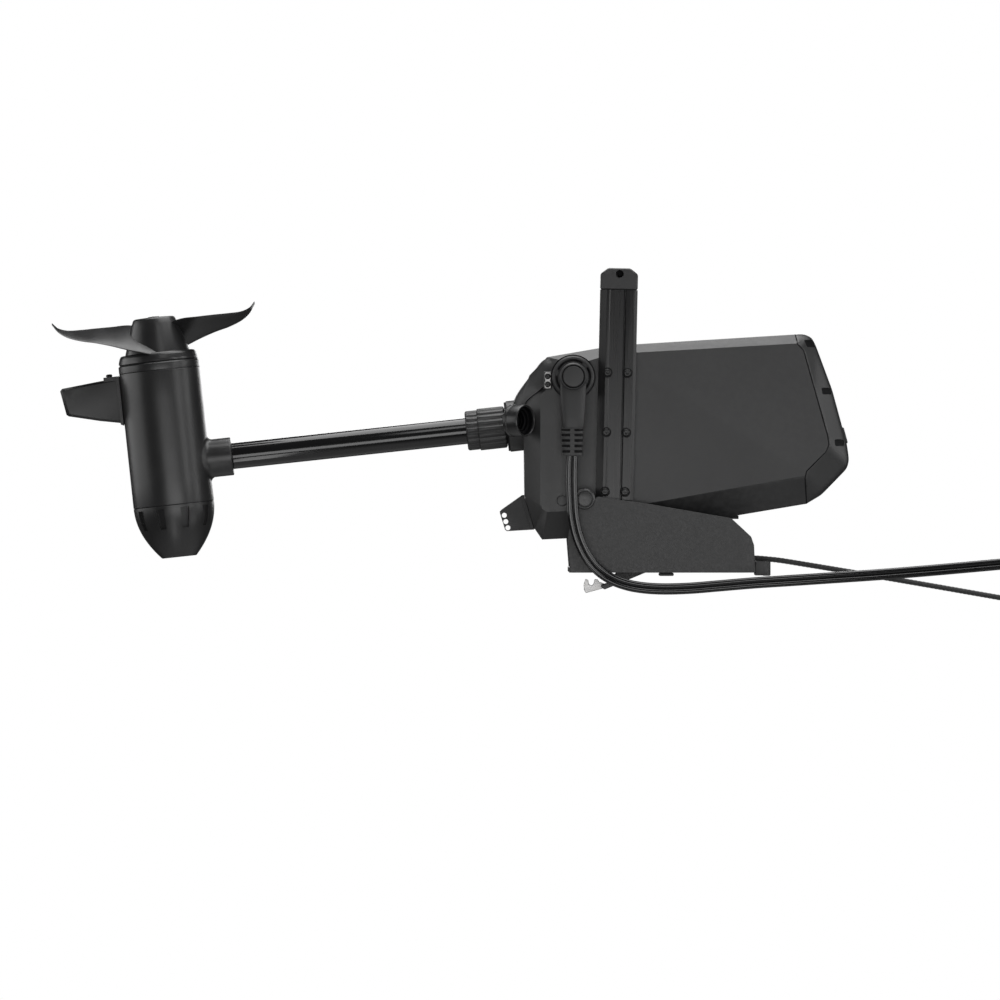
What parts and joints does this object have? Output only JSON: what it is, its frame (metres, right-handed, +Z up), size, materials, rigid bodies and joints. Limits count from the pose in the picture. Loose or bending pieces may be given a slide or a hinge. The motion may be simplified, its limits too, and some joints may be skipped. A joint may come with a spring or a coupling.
{
  "type": "trolling motor",
  "caption": "Electric bow-mount trolling motor for a small boat, stowed: bolt-down base, tilting steering head, shaft, motor with skeg and propeller, power lead and release rope.",
  "frame": {"origin": "middle of the flat underside of the base, where it sits on the deck", "axes": "+Z up, -X along the stowed shaft towards the motor, -Y the side with the power plug and the arm"},
  "size_m": [1.1024, 0.1759, 0.3739],
  "materials": {
    "matte_black_plastic": "fine moulded grain",
    "black_rubber": "satin black rubber",
    "rope_fibre": "braided polyester",
    "painted_black": "satin black powder coat",
    "gloss_black_shaft": "polished black composite",
    "black_anodised": "black anodised extrusion",
    "black_screws": "black oxide",
    "stainless": "brushed stainless steel",
    "brass": "machined",
    "copper_windings": "enamelled copper wire",
    "board_laminate": "coated glass-fibre laminate"
  },
  "bodies": {
    "root": {"base_plate": "painted_black", "side_plate_near": "matte_black_plastic", "side_plate_far": "matte_black_plastic", "pivot_pin": "stainless", "pivot_cap_near": "painted_black", "pivot_cap_far": "painted_black", "rear_wall": "painted_black", "rope_guide": "matte_black_plastic", "rest_bracket": "painted_black", "rest_bumper": "black_rubber", "mount_key": "black_rubber", "lever_pin": "stainless", "lever_spring": "stainless", "pull_rope": "rope_fibre", "pull_handle": "matte_black_plastic", "power_cable": "black_rubber", "battery_connector": "matte_black_plastic"},
    "release_lever": {"release_lever": "matte_black_plastic", "lock_hook": "stainless"},
    "head": {"steering_housing": "matte_black_plastic", "electronics_housing": "matte_black_plastic", "end_cap": "matte_black_plastic", "side_arm": "black_anodised", "arm_end_cap": "matte_black_plastic", "arm_screw_1": "black_screws", "arm_screw_2": "black_screws", "arm_screw_3": "black_screws", "arm_screw_4": "black_screws", "arm_screw_5": "black_screws", "arm_screw_6": "black_screws", "trim_plate": "painted_black", "power_socket": "matte_black_plastic", "plug_keeper": "stainless", "keeper_screw_1": "black_screws", "keeper_screw_2": "black_screws", "power_plug": "matte_black_plastic", "strain_relief": "black_rubber", "cable_port": "matte_black_plastic", "steering_motor": "painted_black", "circuit_board": "board_laminate", "steering_bearing_lower": "stainless", "steering_bearing_upper": "stainless", "pivot_sleeve": "brass"},
    "power_button": {"power_button": "black_rubber"},
    "steering_pinion": {"steering_pinion": "stainless"},
    "steering": {"steering_tube": "black_anodised", "steering_gear": "brass", "collet": "matte_black_plastic"},
    "clamp_collar": {"clamp_collar": "matte_black_plastic"},
    "lower_unit": {"shaft_tube": "gloss_black_shaft", "motor_housing": "painted_black", "rear_bell": "painted_black", "nose_cone": "painted_black", "stator": "copper_windings", "skeg": "painted_black", "skeg_screw": "black_screws", "motor_bearing": "stainless"},
    "propeller": {"propeller": "matte_black_plastic", "prop_shaft": "stainless", "rotor": "stainless"}
  },
  "joints": [
    {"name": "stow", "type": "hinge", "parent": "root", "child": "head", "pos_m": [-0.0844, 0, 0.0802], "axis": [0, -1, 0], "range_deg": [0, 83.87], "deforming": ["power_cable"]},
    {"name": "steering", "type": "hinge", "parent": "head", "child": "steering", "pos_m": [-0.5404, 0, 0.12], "axis": [0.9943, 0, 0.1068], "range_deg": [-180, 180]},
    {"name": "pinion_spin", "type": "hinge", "parent": "head", "child": "steering_pinion", "pos_m": [-0.53479, 0, 0.0678], "axis": [0.9943, 0, 0.1068], "range_deg": [-450, 450]},
    {"name": "clamp_turn", "type": "hinge", "parent": "steering", "child": "clamp_collar", "pos_m": [-0.5404, 0, 0.12], "axis": [0.9943, 0, 0.1068], "range_deg": [0, 90]},
    {"name": "depth", "type": "slide", "parent": "steering", "child": "lower_unit", "axis": [0.9943, 0, 0.1068], "range_m": [-0.15, 0.1]},
    {"name": "prop_spin", "type": "hinge", "parent": "lower_unit", "child": "propeller", "pos_m": [-0.5404, 0, 0.12], "axis": [-0.1068, 0, 0.9943], "continuous": true},
    {"name": "lever_swing", "type": "hinge", "parent": "root", "child": "release_lever", "pos_m": [-0.012, 0, 0.026], "axis": [0, -1, 0], "range_deg": [0, 10], "stiffness_Nm_per_rad": 0.6, "springref_deg": -11.46},
    {"name": "button_press", "type": "slide", "parent": "head", "child": "power_button", "axis": [-0.9645, 0, -0.2639], "range_m": [0, 0.0015], "stiffness_N_per_m": 1500, "springref_m": -0.001}
  ],
  "couplings": [
    {"joint": "pinion_spin", "follows": "steering", "ratio": -2.5}
  ]
}
